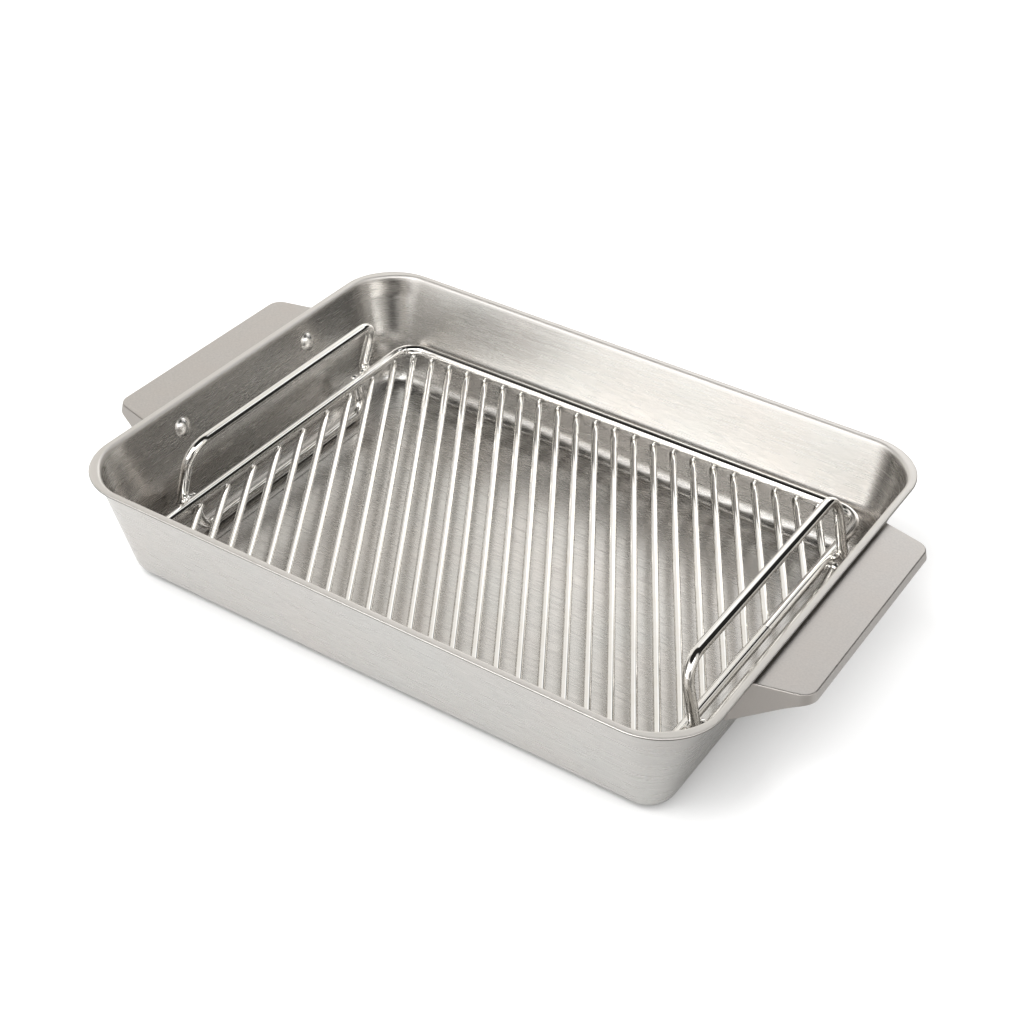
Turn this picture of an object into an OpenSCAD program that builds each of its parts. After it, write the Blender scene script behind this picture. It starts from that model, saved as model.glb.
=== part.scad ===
/* [Pan] */
// Length of the pan over its rim
pan_l = 400; // [370:1:440]
// Width of the pan over its rim
pan_w = 303; // [280:1:330]
// Height of the rim's top above the table
pan_h = 72; // [68:0.5:84]
// Radius of the rim's corners in plan
rim_r = 37.5; // [34:0.5:50]
// Thickness of the steel sheet
sheet_t = 1; // [0.8:0.1:1.4]
// How far the wall's outer face leans in from the rim's edge to the table
wall_inset = 23; // [19:0.5:26]
// Outer radius of the bend between floor and wall
base_r = 12; // [11:0.5:15]

/* [Rim and floor] */
// Width of the flat lip
lip_w = 4.2; // [3:0.1:6]
// Thickness of the lip
lip_t = 1.5; // [1.4:0.1:2]
// Height that the middle of the floor is stamped up by
step_h = 0.8; // [0.4:0.1:1.2]
// Flat border of the floor beyond the stamped middle along X
step_border_x = 15.8; // [13:0.1:24]
// Flat border of the floor beyond the stamped middle along Y
step_border_y = 17.4; // [13:0.1:24]
// Corner radius of the stamped middle
step_r = 13; // [8:0.5:20]
// How far the sheet laps over the step
step_lap = 1; // [0.6:0.1:1.6]

/* [Pan handles] */
// How far each handle reaches out past the rim
handle_reach = 29; // [26:0.5:34]
// Depth of the handle's top face below the rim's top
handle_drop = 3.5; // [3:0.1:6]
// Width of a handle where it passes under the rim's edge
handle_w = 164.5; // [145:0.5:176]
// Angle at which the handle's ends taper
handle_taper = 14; // [8:0.5:18]
// Radius of the handle's outer corners in plan
handle_corner_r = 10; // [8:0.5:14]
// Thickness of the top plate
handle_t = 4.5; // [4:0.1:5.5]
// Radius of the rounded edge round the top face
handle_edge_r = 2; // [1:0.1:2.5]
// Thickness of the web at each end
web_t = 4; // [3:0.1:5]
// Depth below the rim's top at which the webs and the flange end
handle_foot_drop = 32; // [28:0.5:35]
// Slope of the webs' lower edge
web_slope = 32.5; // [31:0.5:36]
// Thickness of the flange against the pan wall
flange_t = 3; // [2.4:0.1:3.6]

/* [Rivets] */
// Distance between the two rivets of a handle
rivet_span = 120; // [100:1:130]
// Depth of the rivets' centres below the rim's top
rivet_drop = 15.5; // [15:0.5:18]
// Diameter of a rivet's shank
rivet_d = 5; // [4:0.1:6]
// Diameter of a rivet's domed head
rivet_head_d = 12.6; // [11.5:0.1:13]
// Height of a rivet's domed head
rivet_head_h = 3.4; // [3:0.1:3.8]
// Diameter of the closed tail of a rivet
rivet_tail_d = 7.5; // [6.5:0.1:8]
// Height of the closed tail of a rivet
rivet_tail_h = 1.6; // [1.2:0.1:2]

/* [Rack frame] */
// Diameter of the frame wire
frame_d = 6.5; // [6:0.1:7]
// Height of the frame wire's centre above the pan floor
rack_rise = 28; // [26:0.5:31]
// Radius of the frame's corners on the wire's centre line
frame_r = 15; // [12:0.5:22]
// How far the rack stands off the middle of the pan
rack_x = 2.5; // [0:0.1:3]

/* [Cross wires] */
// Diameter of a cross wire
cross_d = 4.5; // [4:0.1:5]
// Number of cross wires on each side of the middle one
cross_half_n = 16; // [12:1:20]
// Distance from the last cross wire to the frame's corner, as a share of the distance between wires
cross_end_share = 0.638; // [0.5:0.01:0.9]
// Direction of the cross wires from the X axis
cross_angle = 120; // [110:1:130]

/* [Rack handles] */
// Diameter of the handle and foot wires
loop_d = 6.5; // [6:0.1:7]
// Distance between the legs of a rack handle
grip_w = 178; // [150:1:190]
// Height of a rack handle's bar above the frame
grip_rise = 40; // [34:0.5:46]
// Lean of a rack handle toward the middle
grip_tilt = 14; // [8:0.5:18]
// Bend radius of a rack handle on the wire's centre line
grip_r = 14; // [10:0.5:20]
// How far a rack handle's legs run below the frame's centre
grip_tail = 3; // [2:0.1:4]

/* [Rack feet] */
// Distance between the legs of a rack foot
foot_w = 160; // [140:1:166]
// Lean of a rack foot toward the middle
foot_tilt = 14.7; // [12:0.1:17]
// Bend radius of a rack foot on the wire's centre line
foot_r = 10; // [8:0.5:12]
// How far a rack foot's legs run above the frame's centre
foot_tail = 2; // [1:0.1:3]

/* [Clearances] */
// Gap between the rack's feet and the pan floor
foot_gap = 0.4; // [0.3:0.05:0.6]
// Gap between the rack frame and the long walls
rack_wall_gap = 1; // [0.9:0.1:3]
// How far the foot wire's centre stands past the flat of the floor
foot_over = 0.6; // [0:0.1:0.6]
// Depth that one welded wire sinks into the other
weld_sink = 0.15; // [0.05:0.05:0.3]
// Clearance round a rivet's shank
rivet_fit = 0.05; // [0.02:0.01:0.1]

/* [Hidden] */
$fn = 96;
cut_over = 1;
// Derived places of wires are rounded to this length, so that their ends meet exactly
fine = 0.01;
function neat(v) = fine * round(v / fine);
// How far a rounding stands proud of the straight faces beside it, so that they cross cleanly
bend_bite = 0.004;

// Wall of the pan
wall_tilt = atan((wall_inset - lip_w + sheet_t) / pan_h);
wall_foot = rim_r - wall_inset;
corner_x = pan_l / 2 - rim_r;
corner_y = pan_w / 2 - rim_r;
sheet_run = sheet_t / cos(wall_tilt);

function wall_out(z) = wall_foot + z * tan(wall_tilt);
function wall_in(z) = wall_out(z) - sheet_run;
bend_d = wall_out(base_r) - (base_r - bend_bite) / cos(wall_tilt);

// Flat part of the floor and its stamped middle
floor_x = corner_x + bend_d;
floor_y = corner_y + bend_d;
step_x = floor_x - step_border_x;
step_y = floor_y - step_border_y;

// Pan handles, with distances along X measured from the middle of the pan
handle_foot_z = pan_h - handle_foot_drop;
rivet_z = pan_h - rivet_drop;
handle_x = pan_l / 2 + handle_reach;
handle_top = pan_h - handle_drop;
handle_under = handle_top - handle_t;
handle_half = handle_w / 2;
side_run = handle_x - pan_l / 2;
handle_end_half = handle_half - side_run * tan(handle_taper);
corner_in = handle_corner_r - bend_bite;
corner_cx = handle_x - corner_in;
corner_cy = handle_end_half + corner_in * tan(handle_taper) - corner_in / cos(handle_taper);
handle_root = corner_x + wall_in(handle_foot_z);
root_half = handle_half + (pan_l / 2 - handle_root) * tan(handle_taper);
web_root = corner_x + wall_out(handle_foot_z);
web_reach = web_root + (handle_under - handle_foot_z) / tan(web_slope);

// Rack
floor_top = sheet_t;
frame_z = floor_top + rack_rise;
foot_z = floor_top + foot_gap + loop_d / 2;
foot_drop = frame_z - foot_z;
weld_reach = (frame_d + loop_d) / 2 - weld_sink;
foot_x = floor_x - rack_x + foot_over;
rack_a = neat(foot_x + foot_drop * tan(foot_tilt) - weld_reach / cos(foot_tilt));
wall_stand = sheet_t + rack_wall_gap + frame_d / 2;
rack_b = neat(corner_y + wall_out(frame_z) - wall_stand / cos(wall_tilt));
cross_z = frame_z - (frame_d + cross_d) / 2 + weld_sink;

// Cross wires run both ways from the X axis to the frame's centre line
cross_u = [cos(cross_angle), sin(cross_angle)];
arc_x = rack_a - frame_r;
arc_y = rack_b - frame_r;
cross_reach = arc_x * cross_u.y - arc_y * cross_u.x + frame_r;
cross_pitch = neat(cross_reach / cross_u.y / (cross_half_n + cross_end_share));
cross_n = 2 * cross_half_n + 1;

function flat_hit(c) = min(rack_b / cross_u.y, -(rack_a + c) / cross_u.x);
function arc_root(w) = sqrt(pow(w * cross_u, 2) - w * w + frame_r * frame_r) - w * cross_u;
function arc_hit(c, p) = arc_root([c - sign(p.x) * arc_x, -sign(p.y) * arc_y]);
function in_corner(p) = abs(p.x) > arc_x && abs(p.y) > arc_y;
function hit_from(c, t) = in_corner([c, 0] + t * cross_u) ? arc_hit(c, [c, 0] + t * cross_u) : t;
function hit(c) = hit_from(c, flat_hit(c));
function two_digits(i) = i < 10 ? str("0", i) : str(i);
function cross_name(i) = str("cross_wire_", two_digits(i));

// Outline shapes
module round_rect(half_x, half_y, r) {
    square([2 * half_x, 2 * (half_y - r)], center = true);
    square([2 * (half_x - r), 2 * half_y], center = true);
    for (x = [-1, 1], y = [-1, 1])
        translate([x * (half_x - r), y * (half_y - r)])
            circle(r);
}

// What lies within a face of the pan, whose bend has the radius r and whose wall ends at the point top
module tub_section(r, top) {
    bend = [bend_d, base_r];
    polygon([
        [0, base_r - r],
        [bend_d, base_r - r],
        bend,
        bend + (r - bend_bite) * [cos(wall_tilt), -sin(wall_tilt)],
        top,
        [0, top.y]
    ]);
    translate(bend)
        intersection() {
            circle(r);
            translate([0, -r])
                square(r);
        }
}

// The pan's section from the floor to the lip, outward from a corner's centre
module shell_section() {
    over_z = pan_h + cut_over;
    difference() {
        tub_section(base_r, [wall_out(pan_h), pan_h]);
        tub_section(base_r - sheet_t, [wall_in(over_z), over_z]);
    }
    translate([wall_in(pan_h), pan_h - lip_t])
        square([rim_r - lip_t / 2 - wall_in(pan_h), lip_t]);
    translate([rim_r - lip_t / 2, pan_h - lip_t / 2])
        circle(lip_t / 2);
}

module shell_side(length) {
    rotate([90, 0, 0])
        linear_extrude(length, center = true)
            shell_section();
}

module at_corners(half_x, half_y) {
    translate([half_x, half_y, 0])
        children();
    translate([-half_x, half_y, 0])
        rotate([0, 0, 90])
            children();
    translate([-half_x, -half_y, 0])
        rotate([0, 0, 180])
            children();
    translate([half_x, -half_y, 0])
        rotate([0, 0, 270])
            children();
}

// Places its child on the outer face of the right wall, with Z along the wall's outward normal
module on_wall(y, z) {
    translate([corner_x + wall_out(z), y, z])
        rotate([0, 90 + wall_tilt, 0])
            children();
}

module rivet_holes() {
    for (y = [-1, 1])
        on_wall(y * rivet_span / 2, rivet_z)
            translate([0, 0, -sheet_t - cut_over])
                cylinder(r = rivet_d / 2 + rivet_fit, h = sheet_t + flange_t + 2 * cut_over);
}

module pan_body() {
    difference() {
        union() {
            at_corners(corner_x, corner_y)
                rotate_extrude(angle = 90)
                    shell_section();
            for (turn = [0, 180]) {
                rotate([0, 0, turn])
                    translate([corner_x, 0, 0])
                        shell_side(2 * corner_y);
                rotate([0, 0, turn + 90])
                    translate([corner_y, 0, 0])
                        shell_side(2 * corner_x);
            }
            translate([-corner_x, -corner_y, 0])
                cube([2 * corner_x, 2 * corner_y, sheet_t]);
            linear_extrude(sheet_t + step_h)
                round_rect(step_x + step_lap, step_y + step_lap, step_r + step_lap);
        }
        translate([0, 0, -cut_over])
            linear_extrude(cut_over + step_h)
                round_rect(step_x, step_y, step_r);
        rivet_holes();
        mirror([1, 0, 0])
            rivet_holes();
    }
}

// Plan of a handle, with its root behind the wall's outer face
module handle_plan() {
    side = corner_in * [sin(handle_taper), cos(handle_taper)];
    polygon([
        [handle_root, -root_half],
        [corner_cx + side.x, -corner_cy - side.y],
        [handle_x, -corner_cy],
        [handle_x, corner_cy],
        [corner_cx + side.x, corner_cy + side.y],
        [handle_root, root_half]
    ]);
    for (y = [-1, 1])
        translate([corner_cx, y * corner_cy])
            circle(handle_corner_r);
}

// Plan of the space between the webs
module handle_inside() {
    web_run = web_t / cos(handle_taper);
    over_run = cut_over * tan(handle_taper);
    polygon([
        [handle_root - cut_over, -root_half + web_run - over_run],
        [handle_x + cut_over, -handle_end_half + web_run + over_run],
        [handle_x + cut_over, handle_end_half - web_run - over_run],
        [handle_root - cut_over, root_half - web_run + over_run]
    ]);
}

// Section of a handle along X, through a web and the plate's rounded outer edge
module handle_section() {
    polygon([
        [handle_root, handle_foot_z],
        [web_root, handle_foot_z],
        [web_reach, handle_under],
        [handle_x, handle_under],
        [handle_x, handle_top - handle_edge_r],
        [handle_x - handle_edge_r, handle_top - handle_edge_r],
        [handle_x - handle_edge_r, handle_top],
        [handle_root, handle_top]
    ]);
    translate([handle_x - handle_edge_r, handle_top - handle_edge_r])
        circle(handle_edge_r);
}

module plate_and_webs() {
    difference() {
        intersection() {
            translate([0, 0, handle_foot_z])
                linear_extrude(handle_top - handle_foot_z)
                    handle_plan();
            rotate([90, 0, 0])
                linear_extrude(2 * corner_y, center = true)
                    handle_section();
        }
        translate([0, 0, handle_foot_z - cut_over])
            linear_extrude(handle_under - handle_foot_z + cut_over)
                handle_inside();
    }
}

// The flange lies on the wall, runs into the webs at its ends and into the plate at its top
module flange() {
    flange_run = flange_t / cos(wall_tilt);
    flange_top = handle_under + handle_t / 2;
    rotate([90, 0, 0])
        linear_extrude(2 * (root_half - web_t), center = true)
            polygon([
                [handle_root, handle_foot_z],
                [web_root + flange_run, handle_foot_z],
                [corner_x + wall_out(flange_top) + flange_run, flange_top],
                [handle_root, flange_top]
            ]);
}

module wall_side() {
    rotate([90, 0, 0])
        linear_extrude(2 * corner_y, center = true)
            polygon([
                [corner_x, 0],
                [corner_x + wall_out(0), 0],
                [corner_x + wall_out(pan_h), pan_h],
                [corner_x, pan_h]
            ]);
}

module pan_handle() {
    difference() {
        union() {
            plate_and_webs();
            flange();
        }
        wall_side();
        rivet_holes();
    }
}

// A rivet's half section, with Y along the wall's outward normal
module rivet_section() {
    head_r = rivet_head_d / 2;
    dome_r = (head_r * head_r + rivet_head_h * rivet_head_h) / (2 * rivet_head_h);
    intersection() {
        translate([0, dome_r - rivet_head_h - sheet_t])
            circle(dome_r);
        translate([0, -rivet_head_h - sheet_t])
            square([head_r, rivet_head_h]);
    }
    translate([0, -sheet_t])
        square([rivet_d / 2, sheet_t + flange_t]);
    translate([0, flange_t])
        square([rivet_tail_d / 2, rivet_tail_h]);
}

module rivets() {
    for (y = [-1, 1])
        on_wall(y * rivet_span / 2, rivet_z)
            rotate_extrude()
                rivet_section();
}

// Wire shapes
module wire(length, d) {
    cylinder(d = d, h = length);
}

module wire_bend(r, d) {
    rotate_extrude(angle = 90)
        translate([r, 0])
            circle(d = d);
}

module frame_ring() {
    for (turn = [0, 180]) {
        rotate([0, 0, turn])
            translate([rack_a, arc_y, 0])
                rotate([90, 0, 0])
                    wire(2 * arc_y, frame_d);
        rotate([0, 0, turn + 90])
            translate([rack_b, arc_x, 0])
                rotate([90, 0, 0])
                    wire(2 * arc_x, frame_d);
    }
    at_corners(arc_x, arc_y)
        wire_bend(frame_r, frame_d);
}

// A loop in the YZ plane: two legs that start tail below the origin, and a bar at the height rise
module wire_loop(half_w, rise, r, tail) {
    for (y = [-1, 1])
        translate([0, y * half_w, -tail])
            wire(rise - r + tail, loop_d);
    translate([0, half_w - r, rise - r])
        rotate([90, 0, 90])
            wire_bend(r, loop_d);
    translate([0, r - half_w, rise - r])
        rotate([90, 0, 90])
            rotate([0, 0, 90])
                wire_bend(r, loop_d);
    translate([0, half_w - r, rise])
        rotate([90, 0, 0])
            wire(2 * (half_w - r), loop_d);
}

module grip_loop() {
    translate([rack_a + weld_reach / cos(grip_tilt), 0, frame_z])
        rotate([0, -grip_tilt, 0])
            wire_loop(grip_w / 2, neat(grip_rise / cos(grip_tilt)), grip_r, grip_tail);
}

module foot_loop() {
    translate([rack_a + weld_reach / cos(foot_tilt), 0, frame_z])
        rotate([0, 180 + foot_tilt, 0])
            wire_loop(foot_w / 2, neat(foot_drop / cos(foot_tilt)), foot_r, foot_tail);
}

module rack_place() {
    translate([rack_x, 0, 0])
        children();
}

module cross_wire(k) {
    c = k * cross_pitch;
    back = hit(c);
    front = hit(-c);
    rack_place()
        color("silver")
            translate([c - front * cross_u.x, -front * cross_u.y, cross_z])
                rotate([0, 0, cross_angle])
                    rotate([0, 90, 0])
                        wire(front + back, cross_d);
}

module pan_shell() {
    color("lightgray")
        pan_body();
}

module handle_right() {
    color("gray")
        pan_handle();
}

module handle_left() {
    color("gray")
        mirror([1, 0, 0])
            pan_handle();
}

module rivets_right() {
    color("darkgray")
        rivets();
}

module rivets_left() {
    color("darkgray")
        mirror([1, 0, 0])
            rivets();
}

module rack_frame() {
    color("gainsboro")
        rack_place()
            translate([0, 0, frame_z])
                frame_ring();
}

module rack_handle_right() {
    color("slategray")
        rack_place()
            grip_loop();
}

module rack_handle_left() {
    color("slategray")
        rack_place()
            mirror([1, 0, 0])
                grip_loop();
}

module rack_foot_right() {
    color("dimgray")
        rack_place()
            foot_loop();
}

module rack_foot_left() {
    color("dimgray")
        rack_place()
            mirror([1, 0, 0])
                foot_loop();
}

pan_shell();
handle_left();
handle_right();
rivets_left();
rivets_right();
rack_frame();
rack_handle_left();
rack_handle_right();
rack_foot_left();
rack_foot_right();
for (i = [1:cross_n])
    cross_wire(i - cross_half_n - 1);
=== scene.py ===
"""Looks of a roasting pan with a lift-out wire rack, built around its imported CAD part."""

import math

import bmesh
import bpy
from bpy.props import FloatProperty, FloatVectorProperty, IntProperty, PointerProperty
from mathutils import Matrix, Vector, noise


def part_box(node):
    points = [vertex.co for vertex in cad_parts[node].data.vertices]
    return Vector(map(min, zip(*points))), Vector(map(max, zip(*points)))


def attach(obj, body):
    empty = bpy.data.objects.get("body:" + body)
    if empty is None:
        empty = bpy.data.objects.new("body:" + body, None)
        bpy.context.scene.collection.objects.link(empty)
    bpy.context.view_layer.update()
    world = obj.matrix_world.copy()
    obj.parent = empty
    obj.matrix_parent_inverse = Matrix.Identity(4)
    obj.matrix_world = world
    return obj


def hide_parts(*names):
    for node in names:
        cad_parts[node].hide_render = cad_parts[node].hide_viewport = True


bl_info = {
    "name": "Roasting Pan With Rack",
    "version": (1, 0, 0),
    "blender": (4, 5, 0),
    "location": "3D View > Sidebar > Roasting Pan",
    "description": "Builds the sheet pan, its cast handles, the rivets and the wire rack",
    "category": "Object",
}

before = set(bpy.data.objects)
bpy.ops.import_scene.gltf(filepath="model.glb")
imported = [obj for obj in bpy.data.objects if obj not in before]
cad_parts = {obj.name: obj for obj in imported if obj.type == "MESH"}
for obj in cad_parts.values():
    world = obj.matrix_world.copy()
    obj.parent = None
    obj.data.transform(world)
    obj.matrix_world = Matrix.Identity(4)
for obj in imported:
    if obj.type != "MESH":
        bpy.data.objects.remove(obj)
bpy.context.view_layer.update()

# Places read from the CAD nodes, in metres
FRAME_LO, FRAME_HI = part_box("rack_frame")
RACK_X = (FRAME_LO.x + FRAME_HI.x) / 2
FRAME_Z = (FRAME_LO.z + FRAME_HI.z) / 2
FRAME_WIRE = FRAME_HI.z - FRAME_LO.z
CROSS_NODES = sorted(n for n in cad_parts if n.startswith("cross_wire"))

# How far a piece may stand off its CAD nodes' box
BOX_TOLERANCE = 0.0025


def setting(kind, **limits):
    """A maker of settings of one kind.

    It takes a default and a text, which is either "Name: description" or a name that says it all.
    """
    def make(text, default):
        name, _, more = text.partition(": ")
        return kind(name=name, description=more[:1].upper() + more[1:] or name, default=default, **limits)

    return make


length = setting(FloatProperty, min=0.0, soft_max=1.0, subtype="DISTANCE", unit="LENGTH", precision=5)
turn_angle = setting(FloatProperty, subtype="ANGLE", unit="ROTATION")
colour = setting(FloatVectorProperty, size=3, min=0.0, max=1.0, subtype="COLOR")
share = setting(FloatProperty, min=0.0, max=1.0, subtype="FACTOR")
number = setting(FloatProperty)
count = setting(IntProperty, min=6, max=64)


def angle(text, degrees):
    """An angle, given here in degrees."""
    return turn_angle(text, math.radians(degrees))


class SheetPanSizes(bpy.types.PropertyGroup):
    """Sizes of the pressed sheet pan."""

    rim_length: length("Rim length over the lip", 0.400)
    rim_width: length("Rim width over the lip", 0.303)
    height: length("Height of the rim above the table", 0.072)
    rim_corner: length("Rim corner: radius in plan", 0.0375)
    sheet: length("Sheet thickness", 0.001)
    wall_inset: length("Wall inset: how far the wall's foot stands in from the rim's edge", 0.023)
    lip_width: length("Lip width: how far the lip stands out of the wall", 0.0046)
    lip_thickness: length("Lip thickness", 0.0015)
    lip_inner_bend: length("Lip inner bend: radius between the inner wall and the lip", 0.0022)
    lip_outer_bend: length("Lip outer bend: radius between the lip's underside and the wall", 0.0010)
    corner_ease: length("Corner ease: how far the wall's top draws in at a corner's middle", 0.0016)
    ease_depth: length("Ease depth: how far below the rim that starts", 0.014)
    edge_groove: length("Edge groove: depth of the fine line beside the lip's edge", 0.00012)
    groove_half: length("Edge groove half width", 0.00022)
    base_bend: length("Base bend: outer radius between the wall and the floor", 0.012)
    step_height: length("Step height: how far the stamped floor stands up", 0.0008)
    step_border_x: length("Step border at the ends, from the bend to the step", 0.0158)
    step_border_y: length("Step border at the sides, from the bend to the step", 0.0174)
    step_corner: length("Step corner: radius of the stamped floor's corners", 0.013)
    step_slope: length("Step slope: width over which the step rises", 0.0016)
    corner_steps: count("Faces round each corner of the rim", 22)


class CastHandleSizes(bpy.types.PropertyGroup):
    """Sizes of the two cast handles."""

    reach: length("Reach: how far a handle stands out past the rim", 0.029)
    drop: length("Drop: depth of the top face below the rim", 0.0035)
    width: length("Width where the handle passes under the rim", 0.1645)
    taper: angle("Taper: how far each side runs in", 14.0)
    corner: length("Corner: radius of the outer corners in plan", 0.010)
    plate: length("Top plate thickness", 0.0056)
    edge: length("Top edge radius", 0.0009)
    low_edge: length("Lower edge bevel of the webs", 0.0006)
    draft: length("Draft: how far the top face stands in from its sides' foot", 0.0010)
    web: length("Web thickness", 0.004)
    foot_drop: length("Foot drop: depth of the webs' lowest edge below the rim", 0.032)
    web_slope: angle("Web slope of the lower edge", 32.5)
    web_blend: length("Web blend: softness where the lower edge meets the plate", 0.0016)
    flange: length("Flange thickness on the wall", 0.003)
    sink: length("Sink: how far the root goes into the wall", 0.0004)


class RivetSizes(bpy.types.PropertyGroup):
    """Sizes of the four rivets."""

    span: length("Span between the two rivets of a handle", 0.120)
    drop: length("Drop: depth of the rivets below the rim", 0.0155)
    head: length("Head diameter inside the pan", 0.0126)
    head_height: length("Head height", 0.0034)
    brim: length("Brim width round the head's dome", 0.0007)
    brim_height: length("Brim height", 0.0006)
    tail: length("Tail diameter under the handle", 0.0075)
    tail_height: length("Tail height", 0.0016)


class RackWireSizes(bpy.types.PropertyGroup):
    """Sizes of the rack's wires."""

    frame_corner: length("Frame corner radius", 0.015)
    loop_wire: length("Loop wire: diameter of the handles' and feet's wire", 0.0065)
    weld_sink: length("Weld sink: how far welded wires go into each other", 0.00015)
    grip_width: length("Grip width", 0.178)
    grip_rise: length("Grip rise: height of a rack handle along its legs", 0.04122)
    grip_tilt: angle("Grip tilt: how far a rack handle leans in", 14.0)
    grip_bend: length("Grip bend radius", 0.014)
    grip_tail: length("Grip tail: length of the legs below the frame's middle", 0.003)
    foot_width: length("Foot width", 0.160)
    foot_rise: length("Foot depth along its legs", 0.02517)
    foot_tilt: angle("Foot tilt: how far a foot leans in", 14.7)
    foot_bend: length("Foot bend radius", 0.010)
    foot_tail: length("Foot tail: length of the legs above the frame's middle", 0.0002)
    cross_wire: length("Cross wire diameter", 0.0045)
    cross_angle: angle("Cross angle: direction of the cross wires from the X axis", 120.0)
    nugget: length("Weld nugget radius", 0.0013)
    nugget_inset: length("Weld nugget inset from its cross wire's end", 0.0031)
    round_faces: count("Faces round the frame, handles and feet", 28)
    cross_faces: count("Faces round a cross wire", 20)


class FinishSettings(bpy.types.PropertyGroup):
    """Colours and gloss of the finishes."""

    sheet: colour("Brushed sheet colour", (0.668, 0.654, 0.628))
    sheet_gloss: share("Brushed sheet roughness", 0.26)
    sheet_grain: share("Brushed sheet grain: how far the brushing stretches reflections", 0.55)
    lip_gloss: share("Satin lip roughness", 0.52)
    cast: colour("Cast handle colour", (0.615, 0.595, 0.575))
    cast_gloss: share("Cast handle roughness", 0.42)
    rivet: colour("Rivet colour", (0.88, 0.86, 0.83))
    rivet_gloss: share("Rivet roughness", 0.26)
    chrome: colour("Bright wire colour", (0.90, 0.89, 0.87))
    chrome_gloss: share("Bright wire roughness", 0.045)


class StudioSettings(bpy.types.PropertyGroup):
    """Camera, floor and light."""

    azimuth: angle("Camera azimuth round the pan", 31.763)
    elevation: angle("Camera elevation", 36.634)
    roll: angle("Camera roll about its own axis", 2.096)
    lens: number("Focal length in mm, on a 36 mm wide sensor", 64.91)
    floor_colour: colour("Floor colour", (0.50, 0.50, 0.50))
    dome_colour: colour("Dome colour between the softboxes", (1.0, 0.975, 0.935))
    dome_level: number("Dome level", 0.93)
    ceiling_level: number("Dome level overhead", 0.02)
    floor_glow: number("Floor glow: light it adds where it is seen", 0.70)
    floor_shine: number("Floor shine: light it adds in reflections", 0.33)
    floor_shine_right: number("Floor shine beyond the pan's right end", 0.0)
    contact_reach: length("Contact shadow: how far its darkest part reaches from the pan", 0.055)
    card_level: number("Back card level", 1.12)
    lamp_power: number("Overhead lamp power in W", 36.0)
    lamp_size: length("Overhead lamp diameter", 1.1)


def settings():
    """The add-on's settings in the current scene."""
    return bpy.context.scene.roasting_pan


# --- Meshes ---


def linked(name, data):
    """A new object in the scene."""
    made = bpy.data.objects.new(name, data)
    bpy.context.scene.collection.objects.link(made)
    return made


def mesh_of(name, vertices, faces=(), edges=()):
    """A mesh with smooth faces."""
    mesh = bpy.data.meshes.new(name)
    mesh.from_pydata(vertices, edges, faces)
    mesh.polygons.foreach_set("use_smooth", [True] * len(faces))
    return mesh


def mark_points(mesh, name, values):
    """Stores a number at each of a mesh's points."""
    mesh.attributes.new(name, "FLOAT", "POINT").data.foreach_set("value", values)


def corner_turns(steps):
    """Each point of a rounded rectangle: its corner's signs, its share of the corner and its outward direction."""
    for sx, sy, turn in ((1, 1, 0), (-1, 1, 90), (-1, -1, 180), (1, -1, 270)):
        for i in range(steps + 1):
            a = math.radians(turn + 90 * i / steps)
            yield sx, sy, i / steps, math.cos(a), math.sin(a)


def corner_swell(t):
    """A soft rise and fall across a corner, 1 in its middle."""
    return math.sin(math.pi * t) ** 2


def ring(half_x, half_y, r, z, steps, ease=0.0):
    """A rounded rectangle's points at height z, from the right side round through the back.

    ease is how far the middle of each corner draws in.
    """
    points = []
    for sx, sy, t, c, s in corner_turns(steps):
        e = r - ease * corner_swell(t)
        points.append((sx * (half_x - r) + e * c, sy * (half_y - r) + e * s, z))
    return points


def bands(count, n, first=0):
    """Faces between rings of n points each, of which the first starts at a given vertex."""
    return [
        (a + i, a + (i + 1) % n, a + n + (i + 1) % n, a + n + i)
        for a in range(first, first + (count - 1) * n, n)
        for i in range(n)
    ]


def lofted(name, rings, flip, normals=None):
    """A closed piece through rings with equally many points, with a cap on the first and the last ring.

    The UV map named Grain holds metres: U runs across the grain, from ring to ring, and V along it.
    """
    n = len(rings[0])
    vertices = [p for r in rings for p in r]
    faces = bands(len(rings), n)
    quads = len(faces)
    faces += [tuple(reversed(range(n))), tuple(range(len(vertices) - n, len(vertices)))]
    if flip:
        faces = [tuple(reversed(f)) for f in faces]
    mesh = mesh_of(name, vertices, faces)

    across, along = [0.0], [[0.0] for _ in rings]
    for lower, upper in zip(rings, rings[1:]):
        across.append(across[-1] + (Vector(upper[0]) - Vector(lower[0])).length)
    for run, r in zip(along, rings):
        for i in range(n):
            run.append(run[-1] + (Vector(r[(i + 1) % n]) - Vector(r[i])).length)
    uv = mesh.uv_layers.new(name="Grain")
    for face, polygon in enumerate(mesh.polygons):
        for loop in polygon.loop_indices:
            vertex = mesh.loops[loop].vertex_index
            k, i = divmod(vertex, n)
            if face < quads:
                uv.data[loop].uv = (across[k], along[k][i] if i >= face % n else along[k][n])
            else:
                uv.data[loop].uv = (vertices[vertex][1], vertices[vertex][0])
    mesh.update()
    if normals:
        mesh.normals_split_custom_set_from_vertices(normals)
    return linked(name, mesh)


def arc(centre, r, start, end, steps):
    """Points and outward normals of an arc in a section, from start to end in degrees, with 0 along +d."""
    found = []
    for i in range(steps + 1):
        a = math.radians(start + (end - start) * i / steps)
        c, s = math.cos(a), math.sin(a)
        found.append((centre[0] + r * c, centre[1] + r * s, c, s))
    return found


def hollow(points):
    """The same arc with its normals turned towards its centre."""
    return [(d, z, -nd, -nz) for d, z, nd, nz in points]


def smooth_step(t):
    """A soft rise from 0 to 1, and its slope."""
    return t * t * (3 - 2 * t), 6 * t * (1 - t)


def dress(piece, body, material):
    """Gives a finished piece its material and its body."""
    piece.data.materials.clear()
    piece.data.materials.append(material)
    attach(piece, body)


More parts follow.
